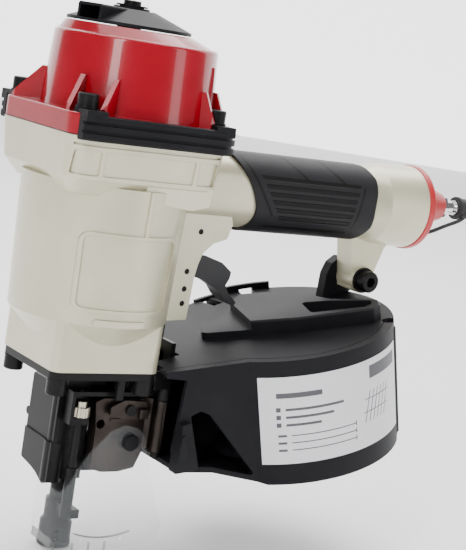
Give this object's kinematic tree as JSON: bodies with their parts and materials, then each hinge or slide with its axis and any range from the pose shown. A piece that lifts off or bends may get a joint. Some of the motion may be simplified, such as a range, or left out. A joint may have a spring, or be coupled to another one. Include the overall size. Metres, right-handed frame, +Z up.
{
  "type": "coil roofing nailer",
  "caption": "Pneumatic coil nailer with a capped cylinder, rubber gripped handle, tilted drum magazine, hinged nose door and clear debris shield.",
  "frame": {"origin": "centre of the contact tip's working face, on the driver's axis", "axes": "+Z up the driver's axis to the exhaust deflector, +X back along the handle to the air inlet, -Y the side the magazine cover and nose door open on"},
  "size_m": [0.2877, 0.1275, 0.2805],
  "materials": {
    "cap_paint": "gloss red enamel",
    "body_paint": "satin pearl paint on cast alloy",
    "black_rubber": "matte rubber",
    "grip_rubber": "textured rubber",
    "red_plastic": "satin red plastic",
    "black_plastic": "matte moulded plastic",
    "clear_plastic": "clear polycarbonate",
    "black_steel": "black oxide steel",
    "dark_steel": "burnished brown black steel",
    "steel": "machined steel",
    "chrome": "polished plating",
    "nickel": "dull nickel plating",
    "aluminium": "machined alloy",
    "brass": "plain brass",
    "black_alloy": "black anodised alloy",
    "label": "printed film"
  },
  "bodies": {
    "tool": {"main_body": "body_paint", "cylinder_cap": "cap_paint", "cap_gasket": "black_rubber", "side_guard_left": "black_plastic", "side_guard_right": "black_plastic", "cap_screws": "black_steel", "deflector_bush": "black_plastic", "deflector_bolt": "black_steel", "cylinder_sleeve": "aluminium", "sleeve_collar": "aluminium", "piston_bumper": "black_rubber", "head_valve_spring": "steel", "grip_sleeve": "grip_rubber", "end_cap": "red_plastic", "end_cap_seal": "black_rubber", "air_filter": "steel", "air_plug": "chrome", "cap_tether": "black_rubber", "ear_pins": "black_steel", "trigger_valve": "brass", "trigger_valve_ring": "black_rubber", "valve_circlip": "steel", "valve_spring": "steel", "nose_body": "black_steel", "nose_screws": "black_steel", "contact_spring": "steel", "door_hinge_pin": "black_steel", "feed_cylinder": "black_steel", "feed_cylinder_cap": "black_steel", "feed_spring": "steel", "magazine_body": "black_plastic", "magazine_hinge_pin": "steel", "platform_post": "steel", "magazine_bolt": "black_steel", "bolt_nut": "black_steel", "neck_screws": "black_steel"},
    "deflector": {"exhaust_deflector": "black_plastic"},
    "driver": {"drive_piston": "aluminium", "piston_ring": "black_rubber", "driver_blade": "steel"},
    "head_valve": {"head_valve": "aluminium", "head_valve_ring": "black_rubber"},
    "trigger": {"trigger": "black_alloy"},
    "valve_stem": {"trigger_valve_stem": "steel"},
    "contact_arm": {"contact_arm": "black_steel"},
    "depth_wheel": {"depth_wheel": "nickel"},
    "contact_tip": {"contact_tip": "black_steel", "no_mar_pad": "black_rubber"},
    "nose_door": {"nose_door": "dark_steel", "latch_pin": "black_steel", "clear_shield": "clear_plastic", "shield_rivet": "black_plastic"},
    "door_latch": {"door_latch": "dark_steel"},
    "check_pawl": {"check_pawl": "steel"},
    "feed_piston": {"feed_piston": "steel"},
    "feed_pawl": {"feed_pawl": "steel"},
    "magazine_cover": {"magazine_cover": "black_plastic", "spec_label": "label"},
    "coil_platform": {"coil_platform": "black_plastic"},
    "dust_cap": {"dust_cap": "black_rubber"}
  },
  "joints": [
    {"name": "deflector_turn", "type": "hinge", "parent": "tool", "child": "deflector", "pos_m": [0, 0, 0.2677], "axis": [0, 0, 1], "continuous": true},
    {"name": "driver_stroke", "type": "slide", "parent": "tool", "child": "driver", "axis": [0, 0, -1], "range_m": [0, 0.092]},
    {"name": "head_valve_lift", "type": "slide", "parent": "tool", "child": "head_valve", "axis": [0, 0, 1], "range_m": [0, 0.004], "stiffness_N_per_m": 600, "springref_m": -0.01, "deforming": ["head_valve_spring"]},
    {"name": "trigger_pull", "type": "hinge", "parent": "tool", "child": "trigger", "pos_m": [0.0462, 0, 0.1497], "axis": [0, -1, 0], "range_deg": [0, 8], "stiffness_Nm_per_rad": 0.3, "springref_deg": -8.59},
    {"name": "valve_stem_lift", "type": "slide", "parent": "tool", "child": "valve_stem", "axis": [0, 0, 1], "range_m": [0, 0.002], "deforming": ["valve_spring"]},
    {"name": "contact_arm_lift", "type": "slide", "parent": "tool", "child": "contact_arm", "axis": [0, 0, 1], "range_m": [0, 0.008], "stiffness_N_per_m": 300, "springref_m": -0.012, "deforming": ["contact_spring"]},
    {"name": "depth_wheel_turn", "type": "hinge", "parent": "contact_arm", "child": "depth_wheel", "pos_m": [-0.004, -0.0156, 0.075], "axis": [0, 0, 1], "range_deg": [-720, 720]},
    {"name": "tip_height", "type": "slide", "parent": "contact_arm", "child": "contact_tip", "axis": [0, 0, 1], "range_m": [-0.003, 0.003]},
    {"name": "door_swing", "type": "hinge", "parent": "tool", "child": "nose_door", "pos_m": [0.039, -0.0224, 0.07], "axis": [0, 0, 1], "range_deg": [0, 80]},
    {"name": "latch_turn", "type": "hinge", "parent": "nose_door", "child": "door_latch", "pos_m": [0.022, -0.02, 0.0775], "axis": [0, 1, 0], "range_deg": [0, 30]},
    {"name": "check_pawl_turn", "type": "hinge", "parent": "nose_door", "child": "check_pawl", "pos_m": [0.0235, -0.009, 0.06], "axis": [0, 0, 1], "range_deg": [0, 10], "stiffness_Nm_per_rad": 0.01, "springref_deg": -11.46},
    {"name": "feed_stroke", "type": "slide", "parent": "tool", "child": "feed_piston", "axis": [1, 0, 0], "range_m": [0, 0.009], "stiffness_N_per_m": 150, "springref_m": -0.01, "deforming": ["feed_spring"]},
    {"name": "feed_pawl_turn", "type": "hinge", "parent": "feed_piston", "child": "feed_pawl", "pos_m": [0.0153, 0.0084, 0.064], "axis": [0, 0, -1], "range_deg": [0, 15], "stiffness_Nm_per_rad": 0.005, "springref_deg": -11.46},
    {"name": "cover_swing", "type": "hinge", "parent": "tool", "child": "magazine_cover", "pos_m": [0.15583, -0.04993, 0.136], "axis": [-0.2588, 0, 0.9659], "range_deg": [0, 100]},
    {"name": "platform_height", "type": "slide", "parent": "tool", "child": "coil_platform", "axis": [-0.2588, 0, 0.9659], "range_m": [0, 0.02]},
    {"name": "dust_cap_pull", "type": "slide", "parent": "tool", "child": "dust_cap", "axis": [1, 0, 0], "range_m": [0, 0.014]}
  ],
  "couplings": [
    {"joint": "valve_stem_lift", "follows": "trigger_pull", "m_per_rad": 0.01432},
    {"joint": "depth_wheel_turn", "follows": "tip_height", "rad_per_m": 4188}
  ]
}
